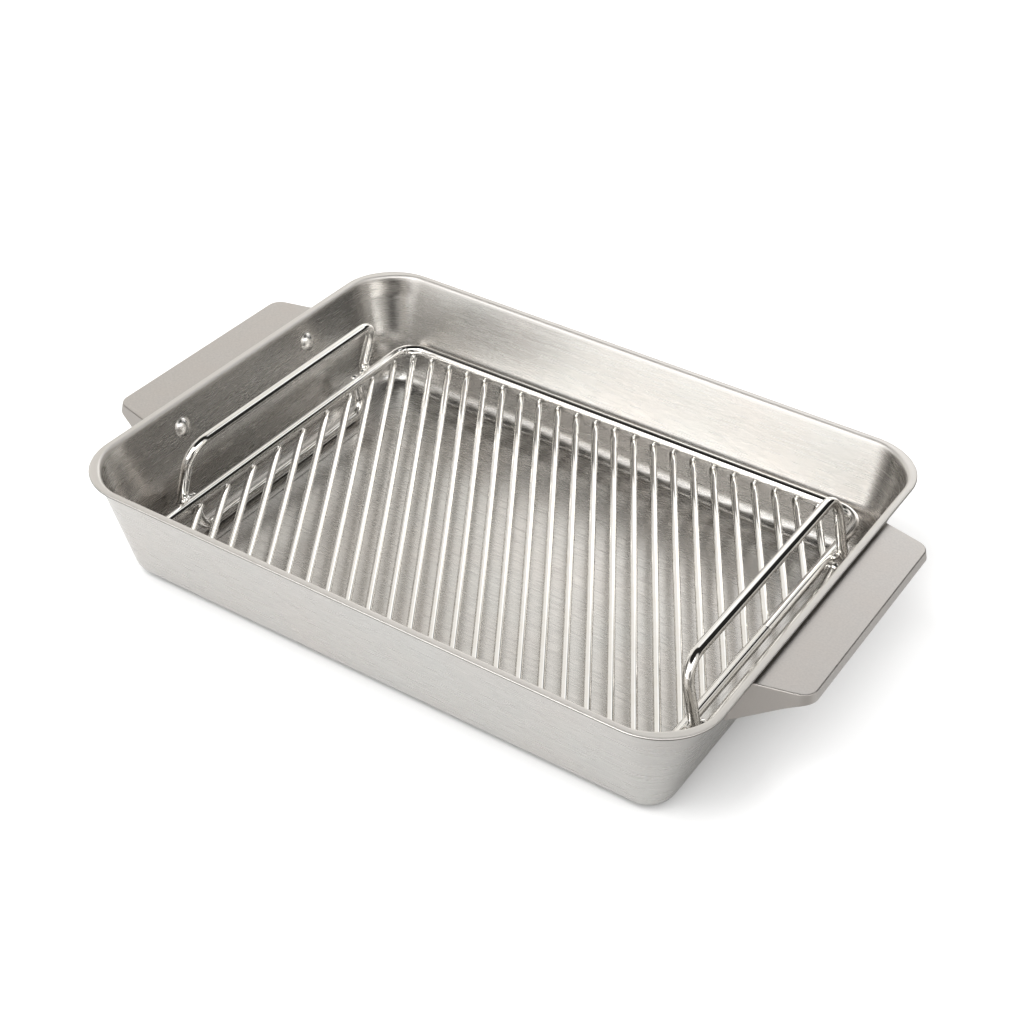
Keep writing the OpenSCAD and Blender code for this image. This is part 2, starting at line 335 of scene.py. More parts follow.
def finish_piece(piece, body, slot, material, *nodes):
    """Dresses a piece that stands for CAD nodes, once it is known to lie where they do."""
    boxes = [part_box(n) for n in nodes]
    for i in range(3):
        places = [v.co[i] for v in piece.data.vertices]
        lo, hi = min(places), max(places)
        cad_lo, cad_hi = min(b[0][i] for b in boxes), max(b[1][i] for b in boxes)
        if abs(lo - cad_lo) > BOX_TOLERANCE or abs(hi - cad_hi) > BOX_TOLERANCE:
            raise RuntimeError(
                f"{piece.name} runs from {lo:.4f} to {hi:.4f} along axis {i}, "
                f"but its CAD nodes run from {cad_lo:.4f} to {cad_hi:.4f}"
            )
    dress(piece, body, material)
    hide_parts(*nodes)


# --- Node trees and finishes ---


class Nodes:
    """A tree whose nodes are added one call at a time."""

    def __init__(self, tree):
        self.tree = tree

    def feed(self, value, socket):
        """Links a node's output to a socket, or sets the socket to a constant."""
        if isinstance(value, bpy.types.NodeSocket):
            self.tree.links.new(value, socket)
        else:
            socket.default_value = (*value, 1) if socket.type == "RGBA" else value

    def node(self, kind, **sockets):
        """Adds a node, whose sockets get a constant or another node's output."""
        made = self.tree.nodes.new(kind)
        for key, value in sockets.items():
            self.feed(value, made.inputs[key.replace("_", " ")])
        return made

    def math(self, operation, *values):
        """A sum, product or other operation on values."""
        made = self.tree.nodes.new("ShaderNodeMath")
        made.operation = operation
        for value, socket in zip(values, made.inputs):
            self.feed(value, socket)
        return made.outputs[0]

    def ranged(self, value, from_low, from_high, low, high, kind="LINEAR"):
        """Maps a value from one range to another."""
        made = self.tree.nodes.new("ShaderNodeMapRange")
        made.interpolation_type = kind
        for given, socket in zip((value, from_low, from_high, low, high), made.inputs):
            self.feed(given, socket)
        return made.outputs[0]

    def mixed(self, factor, a, b, blend="MIX"):
        """A colour mix; a and b are colours or sockets."""
        made = self.tree.nodes.new("ShaderNodeMix")
        made.data_type = "RGBA"
        made.blend_type = blend
        for value, i in zip((factor, a, b), (0, 6, 7)):
            self.feed(value, made.inputs[i])
        return made.outputs[2]


class Finish(Nodes):
    """A metal's material."""

    def __init__(self, name, colour_value, roughness):
        self.material = bpy.data.materials.new(name)
        self.material.use_nodes = True
        super().__init__(self.material.node_tree)
        self.shader = self.tree.nodes["Principled BSDF"]
        self.set("Base Color", colour_value)
        self.set("Metallic", 1.0)
        self.set("Roughness", roughness)

    def set(self, socket, value):
        """Feeds a value to the shader."""
        self.feed(value, self.shader.inputs[socket])

    def coordinates(self, scale=(1, 1, 1), uv=False):
        """Object coordinates, or the Grain map, stretched by a Mapping node."""
        if uv:
            source = self.node("ShaderNodeUVMap")
            source.uv_map = "Grain"
            out = source.outputs["UV"]
        else:
            out = self.node("ShaderNodeTexCoord").outputs["Object"]
        return self.node("ShaderNodeMapping", Vector=out, Scale=scale).outputs["Vector"]

    def grain(self, vector, scale, detail=2.0, rough=0.5, distortion=0.0):
        """A noise texture's value."""
        return self.node(
            "ShaderNodeTexNoise", Vector=vector, Scale=scale, Detail=detail, Roughness=rough, Distortion=distortion,
        ).outputs["Fac"]

    def spread(self, value, low, high):
        """Maps the middle half of a noise value to a range."""
        return self.ranged(value, 0.25, 0.75, low, high)

    def point_mark(self, name):
        """The numbers that the mesh stores at its points."""
        made = self.tree.nodes.new("ShaderNodeAttribute")
        made.attribute_name = name
        return made.outputs["Fac"]

    def relief(self, *layers):
        """Bump layers, each a height, a strength and a depth in metres."""
        normal = None
        for height, strength, depth in layers:
            made = self.node("ShaderNodeBump", Height=height, Strength=strength, Distance=depth)
            if normal:
                self.feed(normal, made.inputs["Normal"])
            normal = made.outputs["Normal"]
        self.set("Normal", normal)


def tinted(base, *by):
    """A colour scaled channel by channel, or by one number."""
    factors = by * 3 if len(by) == 1 else by
    return tuple(min(1.0, c * k) for c, k in zip(base, factors))


def brushed_sheet(name):
    """Brushed sheet steel: fine scratches along the grain, faint patches of tint, a satin lip, and painted shade on
    the lip's under-edge.
    """
    f = settings().finish
    steel = Finish(name, f.sheet, f.sheet_gloss)
    # The mark is 1 on the satin lip and -1 on its under-edge, which gets painted shade
    mark = steel.point_mark("satin")
    satin, shade = steel.math("MAXIMUM", mark, 0.0), steel.math("MULTIPLY", mark, -1.0)
    fine = steel.grain(steel.coordinates((950, 55, 1), uv=True), 1.0, 1.0)
    broad = steel.grain(steel.coordinates((260, 2.5, 1), uv=True), 1.0)
    patches = steel.spread(steel.grain(steel.coordinates(), 16.0), 0, 1)
    tone = steel.mixed(patches, tinted(f.sheet, 1.015, 0.99, 0.985), tinted(f.sheet, 0.985, 1.0, 1.01))
    tone = steel.mixed(steel.spread(fine, 0, 1), tone, steel.mixed(1.0, tone, (0.90, 0.90, 0.90), "MULTIPLY"))
    tone = steel.mixed(satin, tone, tinted(f.sheet, 1.22, 1.21, 1.21))
    # Painted shade: the lip's under-edge is darkened to 0.35 of the sheet's colour, standing in for the shadow under
    # the lip
    steel.set("Base Color", steel.mixed(shade, tone, tinted(f.sheet, 0.35, 0.34, 0.33)))
    gloss = steel.spread(fine, f.sheet_gloss - 0.03, f.sheet_gloss + 0.03)
    gloss = steel.math("ADD", gloss, steel.spread(broad, -0.02, 0.02))
    duller = steel.math("MULTIPLY", satin, f.lip_gloss - f.sheet_gloss)
    steel.set("Roughness", steel.math("ADD", gloss, duller))
    steel.relief((fine, 0.05, 0.00002), (broad, 0.06, 0.00006))
    steel.set("Anisotropic", steel.math("MULTIPLY", steel.math("SUBTRACT", 1.0, satin), f.sheet_grain))
    tangent = steel.tree.nodes.new("ShaderNodeTangent")
    tangent.direction_type = "UV_MAP"
    tangent.uv_map = "Grain"
    steel.set("Tangent", tangent.outputs["Tangent"])
    return steel.material


def satin_casting(name):
    """Cast handle steel: a blasted, mottled satin with faint wear, and painted shade that darkens the faces at the
    handle's ends.
    """
    f = settings().finish
    steel = Finish(name, f.cast, f.cast_gloss)
    flat = steel.coordinates()
    blasted, mottled = steel.grain(flat, 1500.0, rough=0.6), steel.grain(flat, 850.0, rough=0.6)
    cloudy = steel.grain(flat, 45.0)
    tone = steel.mixed(steel.spread(mottled, 0, 1), tinted(f.cast, 0.89), tinted(f.cast, 1.10, 1.095, 1.09))
    tone = steel.mixed(steel.spread(cloudy, 0, 0.35), tone, tinted(f.cast, 1.03, 0.97, 0.93))
    # Painted shade: faces towards the handle's ends are darkened to about 0.7 of the cast colour
    tone = steel.mixed(steel.point_mark("end_face"), tone, tinted(f.cast, 0.73, 0.71, 0.69))
    steel.set("Base Color", tone)
    steel.set("Roughness", steel.spread(mottled, f.cast_gloss - 0.05, f.cast_gloss + 0.06))
    steel.relief((blasted, 0.35, 0.00003), (mottled, 0.30, 0.00004))
    return steel.material


def polished_rivet(name):
    """Rivet steel: bright, with a few faint swirls."""
    f = settings().finish
    steel = Finish(name, f.rivet, f.rivet_gloss)
    swirl = steel.grain(steel.coordinates(), 420.0, distortion=0.6)
    steel.set("Base Color", steel.mixed(steel.spread(swirl, 0, 1), f.rivet, tinted(f.rivet, 0.93)))
    steel.set("Roughness", steel.spread(swirl, f.rivet_gloss - 0.03, f.rivet_gloss + 0.05))
    steel.relief((swirl, 0.10, 0.00008))
    return steel.material


def bright_wire(name):
    """Plated wire: mirror bright, with slow waves from drawing and faint dull spots."""
    f = settings().finish
    steel = Finish(name, f.chrome, f.chrome_gloss)
    flat = steel.coordinates()
    waves, spots = steel.grain(flat, 130.0, 1.0, 0.4), steel.grain(flat, 900.0)
    steel.set("Base Color", steel.mixed(steel.spread(waves, 0, 1), f.chrome, tinted(f.chrome, 0.97, 0.96, 0.94)))
    steel.set("Roughness", steel.spread(spots, f.chrome_gloss - 0.015, f.chrome_gloss + 0.03))
    steel.relief((waves, 0.10, 0.0001))
    return steel.material


FINISHES = {
    "brushed_sheet_steel": brushed_sheet,
    "satin_cast_steel": satin_casting,
    "polished_rivet_steel": polished_rivet,
    "bright_plated_wire": bright_wire,
}


def shared(name):
    """A finish made once and used by several pieces."""
    return bpy.data.materials.get(name) or FINISHES[name](name)


# --- Sheet pan ---

# Steps of the skin's slopes and arcs, from the floor up over the lip and down to the base
STEP_RINGS = 7
FLOOR_BEND_STEPS = 10
EASE_STEPS = 8
LIP_BEND_STEPS = 8
LIP_EDGE_STEPS = 10
UNDER_BEND_STEPS = 5
BASE_BEND_STEPS = 12
# Steps round the lip's edge that keep the satin finish; the rest is its under-edge, which gets painted shade
SATIN_EDGE_STEPS = 4
# How far the stamping grows outward on the floor's upper and lower face
STEP_GROW_UP, STEP_GROW_DOWN = 0.0008, -0.0002
# Room between the wall's rings and the lip's bend, and between the fine line and the lip's edge
BEND_GAP, LINE_GAP = 0.0001, 0.00005


class PanShape:
    """Sections of the sheet pan, in the corner's own plane: d outward from the corner's centre, z up."""

    def __init__(self):
        s = settings().sheet_pan
        self.s = s
        self.corner_x = s.rim_length / 2 - s.rim_corner
        self.corner_y = s.rim_width / 2 - s.rim_corner
        self.tilt = math.atan((s.wall_inset - s.lip_width + s.sheet) / s.height)
        self.foot = s.rim_corner - s.wall_inset
        self.bend_d = self.outer(s.base_bend) - s.base_bend / math.cos(self.tilt)

    def outer(self, z):
        """Distance of the wall's outer face at height z."""
        return self.foot + z * math.tan(self.tilt)

    def inner(self, z):
        """Distance of the wall's inner face at height z."""
        return self.outer(z) - self.s.sheet / math.cos(self.tilt)


def sheet_pan():
    """The pressed pan as one closed skin: stamped floor, bend, wall, lip, and back down outside."""
    shape = PanShape()
    s, t = shape.s, shape.tilt
    deg = math.degrees(t)
    rings, normals, marks = [], [], []
    turns = list(corner_turns(s.corner_steps))

    def add(half_x, half_y, r, z, nd, nz, ease=0.0, satin=0.0):
        rings.append(ring(half_x, half_y, r, z, s.corner_steps, ease))
        normals.extend((nd * c, nd * k, nz) for _, _, _, c, k in turns)
        marks.extend([satin] * len(turns))

    def add_section(points, ease=0.0, satin=0.0):
        for d, z, nd, nz in points:
            add(shape.corner_x + d, shape.corner_y + d, d, z, nd, nz, ease, satin)

    def add_eased_wall(low, high):
        """The top of the inner wall, which draws in at the corners and leans accordingly."""
        for i in range(EASE_STEPS):
            rise, slope = smooth_step(i / EASE_STEPS)
            z = low + (high - low) * i / EASE_STEPS
            d = shape.inner(z)
            rings.append(ring(shape.corner_x + d, shape.corner_y + d, d, z, s.corner_steps, s.corner_ease * rise))
            marks.extend([0.0] * len(turns))
            for _, _, u, c, k in turns:
                lean = math.atan(math.tan(t) - s.corner_ease * slope / (high - low) * corner_swell(u))
                normals.append((-math.cos(lean) * c, -math.cos(lean) * k, math.sin(lean)))

    def add_step(low, side, grow):
        """The soft step round the stamped floor; side is 1 for its upper face and -1 for its lower one."""
        half_x = shape.corner_x + shape.bend_d - s.step_border_x + grow
        half_y = shape.corner_y + shape.bend_d - s.step_border_y + grow
        for i in range(STEP_RINGS)[::side]:
            out = i / (STEP_RINGS - 1)
            h, slope = smooth_step(1 - out)
            run = (out - 0.5) * s.step_slope
            n = side * Vector((slope * s.step_height / s.step_slope, 1.0)).normalized()
            add(half_x + run, half_y + run, s.step_corner + grow + run, low + h * s.step_height, n.x, n.y)

    def bend(wall_d, z, r):
        """Centre of the bend between a wall and the lip's face at height z, and how far it reaches down the wall."""
        tangent = r * math.tan(math.radians(90 - deg) / 2)
        return (wall_d + tangent, z - r), tangent * math.cos(t)

    centre = (shape.bend_d, s.base_bend)
    add_step(s.sheet, 1, STEP_GROW_UP)
    add_section(hollow(arc(centre, s.base_bend - s.sheet, -90, -deg, FLOOR_BEND_STEPS)))
    # Up the inner wall and over a soft bend
    bend_centre, taken = bend(shape.inner(s.height), s.height, s.lip_inner_bend)
    add_eased_wall(s.height - s.ease_depth, s.height - taken - BEND_GAP)
    for i, point in enumerate(arc(bend_centre, s.lip_inner_bend, 180 - deg, 90, LIP_BEND_STEPS)):
        add_section([point], s.corner_ease, min(1.0, 0.5 + i / 2))
    # Across the lip's flat with its fine line, and round its edge
    edge_r = s.lip_thickness / 2
    edge_d = s.rim_corner - edge_r
    for k, lean in ((-1, 0), (-0.5, 1), (0, 0), (0.5, -1), (1, 0)):
        n = Vector((lean * s.edge_groove / s.groove_half, 1.0)).normalized()
        d = edge_d - LINE_GAP + (k - 1) * s.groove_half
        add_section([(d, s.height - s.edge_groove * (1 - abs(k)), n.x, n.y)], satin=1.0)
    # The edge's lower steps get -1, which marks them for painted shade under the lip
    for i, point in enumerate(arc((edge_d, s.height - edge_r), edge_r, 90, -90, LIP_EDGE_STEPS)):
        add_section([point], satin=1.0 if i < SATIN_EDGE_STEPS else -1.0)
    # Underside of the lip, its bend, the outer wall and the base bend
    under = s.height - s.lip_thickness
    bend_centre, _ = bend(shape.outer(under), under, s.lip_outer_bend)
    add_section(hollow(arc(bend_centre, s.lip_outer_bend, 90, 180 - deg, UNDER_BEND_STEPS)))
    add_section(arc(centre, s.base_bend, -deg, -90, BASE_BEND_STEPS))
    add_step(0.0, -1, STEP_GROW_DOWN)
    piece = lofted("sheet_pan", rings, True, normals)
    # The satin mark holds 1 on the satin lip and -1 on the lip's under-edge, where the colour gets painted shade
    mark_points(piece.data, "satin", marks)
    return piece


class COOKWARE_OT_sheet_pan(bpy.types.Operator):
    """Build the pressed sheet pan and its brushed finish"""

    bl_idname = "cookware.sheet_pan"
    bl_label = "Sheet Pan"

    def execute(self, context):
        finish_piece(sheet_pan(), "pan", "pan_steel", shared("brushed_sheet_steel"), "pan_shell")
        return {"FINISHED"}


# --- Cast handles ---

SIDE_STEPS, OUTER_CORNER_STEPS, TOP_EDGE_STEPS = 9, 14, 6
SMALLEST_CORNER = 0.0004
# Where the search for the root's place starts, in from the rim, and its turns
ROOT_START, ROOT_TURNS = 0.012, 8
# How far a face looks along the pan's width where its painted shade starts, and where it is full
END_FACE = (0.25, 0.65)
EVEN_SHADING_ANGLE = 38


def handle_outline(shape, s, inset, heights, root_out):
    """Points of a handle's outline, set in by inset; heights gives z from x.

    root_out is how far its root edge, which follows the wall, stands out of the wall's outer face.
    """
    rim = shape.s.rim_length / 2
    end_half = s.width / 2 - s.reach * math.tan(s.taper)
    r = max(s.corner - inset, SMALLEST_CORNER)
    cx = rim + s.reach - s.corner
    cy = end_half + s.corner * math.tan(s.taper) - s.corner / math.cos(s.taper)
    # The wall leans, so the root's place and its height are found in turns
    root = rim - ROOT_START
    for _ in range(ROOT_TURNS):
        root = shape.corner_x + shape.outer(heights(root)) + root_out
    meet = cx + r * math.sin(s.taper)
    half = []
    for i in range(SIDE_STEPS):
        x = root + (meet - root) * i / SIDE_STEPS
        side_y = s.width / 2 - (x - rim) * math.tan(s.taper) - inset / math.cos(s.taper)
        half.append((x, -side_y, heights(x)))
    first = math.degrees(s.taper) - 90
    for i in range(OUTER_CORNER_STEPS + 1):
        a = math.radians(first * (1 - i / OUTER_CORNER_STEPS))
        x, y = cx + r * math.cos(a), -cy + r * math.sin(a)
        half.append((x, y, heights(x)))
    return half + [(x, -y, z) for x, y, z in reversed(half)]


def cast_handle(name, side):
    """A cast handle: flat top plate, webs that run down to the wall, open underneath."""
    shape = PanShape()
    s = settings().cast_handle
    top = shape.s.height - s.drop
    under = top - s.plate
    foot = shape.s.height - s.foot_drop
    web_root = shape.corner_x + shape.outer(foot)
    small, edge, soft = s.low_edge, s.edge, s.web_blend

    def low(x):
        """Lower edge of the webs, which runs softly into the plate."""
        straight = foot + max(0.0, x - web_root) * math.tan(s.web_slope)
        if straight >= under + 0.03:
            return under
        return -soft * math.log(math.exp(-straight / soft) + math.exp(-under / soft))

    # Sections from the top face over its edge, down the sides and up inside: inset, heights, root
    sections = [(s.draft + edge + 0.0006, lambda x: top, -s.sink)]
    for i in range(TOP_EDGE_STEPS + 1):
        a = math.radians(90 * i / TOP_EDGE_STEPS)
        z = top - edge * (1 - math.cos(a))
        sections.append((s.draft + edge * (1 - math.sin(a)), lambda x, z=z: z, -s.sink))
    sections += [
        (0.0, lambda x: min(low(x) + small, top - edge - 0.0002), -s.sink),
        (small * 0.3, lambda x: low(x) + small * 0.3, -s.sink),
        (small, low, -s.sink),
        (s.web - small, low, s.flange - small),
        (s.web, lambda x: min(low(x) + small, under + 0.0001), s.flange),
        (s.web + 0.0002, lambda x: max(under - 0.0012, min(low(x) + small, under)), s.flange),
        (s.web + 0.0014, lambda x: under + 0.0001, s.flange + 0.0012),
    ]
    rings = [[(side * x, y, z) for x, y, z in handle_outline(shape, s, *section)] for section in sections]
    piece = lofted(name, rings, side > 0)
    # Painted shade: points whose normals look along the pan's width are marked, to darken the handle's end faces
    start, full = END_FACE
    facing = [(abs(v.normal.y) - start) / (full - start) for v in piece.data.vertices]
    mark_points(piece.data, "end_face", [min(1.0, max(0.0, y)) for y in facing])
    return piece


def even_shading(piece):
    """Marks the sharper edges, and shades flat faces as flat."""
    work = bmesh.new()
    work.from_mesh(piece.data)
    for e in work.edges:
        if len(e.link_faces) == 2 and e.calc_face_angle(0.0) > math.radians(EVEN_SHADING_ANGLE):
            e.smooth = False
    work.to_mesh(piece.data)
    work.free()
    shade = piece.modifiers.new("Even shading", "WEIGHTED_NORMAL")
    shade.keep_sharp = True
    shade.weight = 90


class COOKWARE_OT_cast_handles(bpy.types.Operator):
    """Build the two cast handles and their satin finish"""

    bl_idname = "cookware.cast_handles"
    bl_label = "Cast Handles"

    def execute(self, context):
        for side, end in ((1, "right"), (-1, "left")):
            piece = cast_handle("cast_handle_" + end, side)
            even_shading(piece)
            finish_piece(piece, "pan", "handle_steel", shared("satin_cast_steel"), "handle_" + end)
        return {"FINISHED"}


# --- Geometry node trees ---


class GrowingTree(Nodes):
    """A geometry node tree with named inputs, ended by real geometry in one finish."""

    KINDS = {float: "NodeSocketFloat", int: "NodeSocketInt", tuple: "NodeSocketVector"}

    def __init__(self, name, inputs):
        super().__init__(bpy.data.node_groups.new(name, "GeometryNodeTree"))
        self.socket("Geometry", "NodeSocketGeometry")
        for label, default in inputs.items():
            self.socket(label, self.KINDS[type(default)]).default_value = default
        self.socket("Finish", "NodeSocketMaterial")
        self.socket("Geometry", "NodeSocketGeometry", "OUTPUT")
        self.given = self.node("NodeGroupInput").outputs

    def socket(self, label, kind, side="INPUT"):
        return self.tree.interface.new_socket(label, in_out=side, socket_type=kind)

    def ended(self, geometry):
        """The tree, once its geometry is real and has its finish."""
        real = self.node("GeometryNodeRealizeInstances", Geometry=geometry).outputs["Geometry"]
        dressed = self.node("GeometryNodeSetMaterial", Geometry=real, Material=self.given["Finish"])
        self.node("NodeGroupOutput", Geometry=dressed.outputs["Geometry"])
        return self.tree


def grown(name, source, tree, values):
    """Runs a tree on a mesh and returns the result as a plain mesh object."""
    maker = linked(name + "_source", source)
    modifier = maker.modifiers.new(name, "NODES")
    modifier.node_group = tree
    for item in tree.interface.items_tree:
        if item.item_type == "SOCKET" and item.in_out == "INPUT" and item.name in values:
            modifier[item.identifier] = values[item.name]
    depsgraph = bpy.context.evaluated_depsgraph_get()
    mesh = bpy.data.meshes.new_from_object(maker.evaluated_get(depsgraph), depsgraph=depsgraph)
    mesh.name = name
    maker.modifiers.remove(modifier)
    bpy.data.objects.remove(maker)
    if not mesh.polygons:
        raise RuntimeError(f"the node tree made no faces for {name}")
    return linked(name, mesh)


def wire_tree():
    """Geometry nodes that sweep a round wire along the edges of a mesh."""
    name = "wire_along_path"
    if name in bpy.data.node_groups:
        return bpy.data.node_groups[name]
    t = GrowingTree(name, {"Wire Radius": 0.002, "Sides": 16})
    path = t.node("GeometryNodeMeshToCurve", Mesh=t.given["Geometry"])
    profile = t.node("GeometryNodeCurvePrimitiveCircle", Resolution=t.given["Sides"], Radius=t.given["Wire Radius"])
    thickness = t.node("GeometryNodeInputNamedAttribute", Name="thickness")
    thickness.data_type = "FLOAT"
    tube = t.node(
        "GeometryNodeCurveToMesh", Curve=path.outputs["Curve"], Profile_Curve=profile.outputs["Curve"],
        Scale=thickness.outputs["Attribute"], Fill_Caps=True,
    )
    smooth = t.node("GeometryNodeSetShadeSmooth", Geometry=tube.outputs["Mesh"], Shade_Smooth=True)
    return t.ended(smooth.outputs["Geometry"])


def rivet_tree():
    """Geometry nodes that set a rivet at each of four places on the end walls."""
    t = GrowingTree("rivets_on_end_walls", {"Length Apart": 0.3, "Width Apart": 0.1, "Height": 0.05, "Lean": 1.8})
    grid = t.node(
        "GeometryNodeMeshGrid",
        Size_X=t.given["Length Apart"], Size_Y=t.given["Width Apart"], Vertices_X=2, Vertices_Y=2,
    )
    lift = t.node("ShaderNodeCombineXYZ", Z=t.given["Height"])
    raised = t.node("GeometryNodeTransform", Geometry=grid.outputs["Mesh"], Translation=lift.outputs["Vector"])
    position = t.node("GeometryNodeInputPosition")
    parts = t.node("ShaderNodeSeparateXYZ", Vector=position.outputs["Position"])
    turn = t.math("MULTIPLY", t.math("SIGN", parts.outputs["X"]), t.given["Lean"])
    placed = t.node(
        "GeometryNodeInstanceOnPoints", Points=raised.outputs["Geometry"], Instance=t.given["Geometry"],
        Rotation=t.node("ShaderNodeCombineXYZ", Y=turn).outputs["Vector"],
    )
    return t.ended(placed.outputs["Instances"])


def nugget_tree():
    """Geometry nodes that set a small weld nugget at each point, a little smaller or larger each."""
    t = GrowingTree("weld_nuggets_on_points", {
        "Nugget Radius": 0.002, "Nugget Shape": (1.0, 1.0, 0.8), "Smallest": 0.85, "Largest": 1.12, "Seed": 4,
    })
    ball = t.node("GeometryNodeMeshIcoSphere", Radius=t.given["Nugget Radius"], Subdivisions=3)
    smooth = t.node("GeometryNodeSetShadeSmooth", Geometry=ball.outputs["Mesh"], Shade_Smooth=True)
    size = t.node("FunctionNodeRandomValue", Seed=t.given["Seed"])
    size.data_type = "FLOAT"
    t.feed(t.given["Smallest"], size.inputs[2])
    t.feed(t.given["Largest"], size.inputs[3])
    shape = t.node("ShaderNodeVectorMath")
    shape.operation = "SCALE"
    t.feed(t.given["Nugget Shape"], shape.inputs[0])
    t.feed(size.outputs[1], shape.inputs["Scale"])
    placed = t.node(
        "GeometryNodeInstanceOnPoints",
        Points=t.given["Geometry"], Instance=smooth.outputs["Geometry"], Scale=shape.outputs[0],
    )
    return t.ended(placed.outputs["Instances"])


# --- Rivets ---

RIVET_SIDES, DOME_STEPS, TAIL_STEPS = 36, 12, 6


def rivet_mesh(shape):
    """One rivet about its own Z axis, with the wall's outer face at the origin and its tail along +Z."""
    s = settings().rivet
    head_r, tail_r, foot_r = s.head / 2, s.tail / 2, s.head / 2 - s.brim
    flange = settings().cast_handle.flange
    base = -shape.s.sheet
    dome_up = s.head_height - s.brim_height
    dome_r = (foot_r ** 2 + dome_up ** 2) / (2 * dome_up)
    section = []
    for i in range(1, DOME_STEPS + 1):
        a = i / DOME_STEPS * math.asin(min(1.0, foot_r / dome_r))
        section.append((dome_r * math.sin(a), base - s.head_height + dome_r * (1 - math.cos(a))))
    # The brim, its rounded edge and its foot in the wall, then the shank and the tail's side
    section += [
        (foot_r + 0.0001, base - 0.00045), (foot_r + 0.0003, base - 0.0005), (head_r - 0.0003, base - 0.0005),
        (head_r - 0.00008, base - 0.00042), (head_r, base - 0.00025), (head_r - 0.00005, base - 0.0001),
        (head_r - 0.0003, base + 0.00005), (0.0026, base + 0.0001), (0.0025, flange - 0.0002),
        (tail_r - 0.0003, flange), (tail_r, flange + 0.0003), (tail_r, flange + s.tail_height * 0.45),
    ]
    for i in range(1, TAIL_STEPS):
        a = math.radians(90 * i / TAIL_STEPS)
        section.append((tail_r * math.cos(a) ** 0.6, flange + s.tail_height * (0.45 + 0.55 * math.sin(a))))
    n = RIVET_SIDES
    turns = [2 * math.pi * i / n for i in range(n)]
    vertices = [(0, 0, base - s.head_height)]
    vertices += [(r * math.cos(a), r * math.sin(a), z) for r, z in section for a in turns]
    vertices.append((0, 0, flange + s.tail_height))
    last = len(vertices) - 1
    faces = [(0, 1 + (i + 1) % n, 1 + i) for i in range(n)] + bands(len(section), n, 1)
    faces += [(last - n + i, last - n + (i + 1) % n, last) for i in range(n)]
    return mesh_of("rivet", vertices, faces)


class COOKWARE_OT_rivets(bpy.types.Operator):
    """Build the four rivets through the end walls"""

    bl_idname = "cookware.rivets"
    bl_label = "Rivets"

    def execute(self, context):
        shape = PanShape()
        s = settings().rivet
        z = shape.s.height - s.drop
        finish = shared("polished_rivet_steel")
        piece = grown("rivets", rivet_mesh(shape), rivet_tree(), {
            "Length Apart": 2 * (shape.corner_x + shape.outer(z)),
            "Width Apart": s.span,
            "Height": z,
            "Lean": math.pi / 2 + shape.tilt,
            "Finish": finish,
        })
        finish_piece(piece, "pan", "rivet_steel", finish, "rivets_left", "rivets_right")
        return {"FINISHED"}


# --- Rack ---

BEND_STEPS = 16
# A dome's sections at a wire's end: distance and radius, as shares of the wire's radius
WIRE_END = ((0.0, 0.22), (0.06, 0.46), (0.2, 0.70), (0.45, 0.90), (0.75, 0.985), (1.0, 1.0))
# The swelling of a butt weld: place along the wire and height, as shares of the weld's half width and of SWELL
SWELLING = ((-1.6, 0), (-1.0, 0.55), (-0.4, 1.0), (0.3, 0.9), (0.9, 0.5), (1.6, 0))
SWELL = 0.05
# The frame's butt welds: point of its path, share of the way to the next point, half width
FRAME_WELDS = ((44, 0.5, 0.0004), (16, 0.516, 0.0008))


def path_mesh(name, paths, closed):
    """Edges along paths, each a list of points with their thickness."""
    vertices, edges, thickness = [], [], []
    for points in paths:
        start = len(vertices)
        vertices += [tuple(p) for p, _ in points]
        thickness += [k for _, k in points]
        edges += [(i, i + 1) for i in range(start, len(vertices) - 1)]
        if closed:
            edges.append((len(vertices) - 1, start))
    mesh = mesh_of(name, vertices, edges=edges)
    mark_points(mesh, "thickness", thickness)
    return mesh


def rounded_path(corners, r, closed):
    """A path through corners, each turned by an arc of radius r."""
    corners = [Vector(c) for c in corners]
    n = len(corners)
    found = []
    for i, c in enumerate(corners):
        if not closed and i in (0, n - 1):
            found.append(c)
            continue
        a = (corners[i - 1] - c).normalized()
        b = (corners[(i + 1) % n] - c).normalized()
        half = a.angle(b) / 2
        centre = c + (a + b).normalized() * (r / math.sin(half))
        u, v = (c + k * (r / math.tan(half)) - centre for k in (a, b))
        turn = u.angle(v)
        for k in range(BEND_STEPS + 1):
            f = k / BEND_STEPS
            found.append(centre + (u * math.sin((1 - f) * turn) + v * math.sin(f * turn)) / math.sin(turn))
    return found


def with_ends(points, r):
    """Gives each end of a path a dome, as the welding heat leaves on a wire."""
    first = (points[1] - points[0]).normalized()
    last = (points[-2] - points[-1]).normalized()
    head = [(points[0] + first * r * d, k) for d, k in WIRE_END]
    tail = [(points[-1] + last * r * d, k) for d, k in reversed(WIRE_END)]
    return head + [(p, 1.0) for p in points[1:-1]] + tail


def with_swelling(points, i, f, half_width):
    """Adds a small ring where two wire ends were butt-welded, at a share f of the way from point i to the next."""
    a, b = points[i][0], points[(i + 1) % len(points)][0]
    run = (b - a).normalized()
    middle = a + (b - a) * f
    extra = [(middle + run * half_width * t, 1 + SWELL * k) for t, k in SWELLING]
    return points[: i + 1] + extra + points[i + 1:]


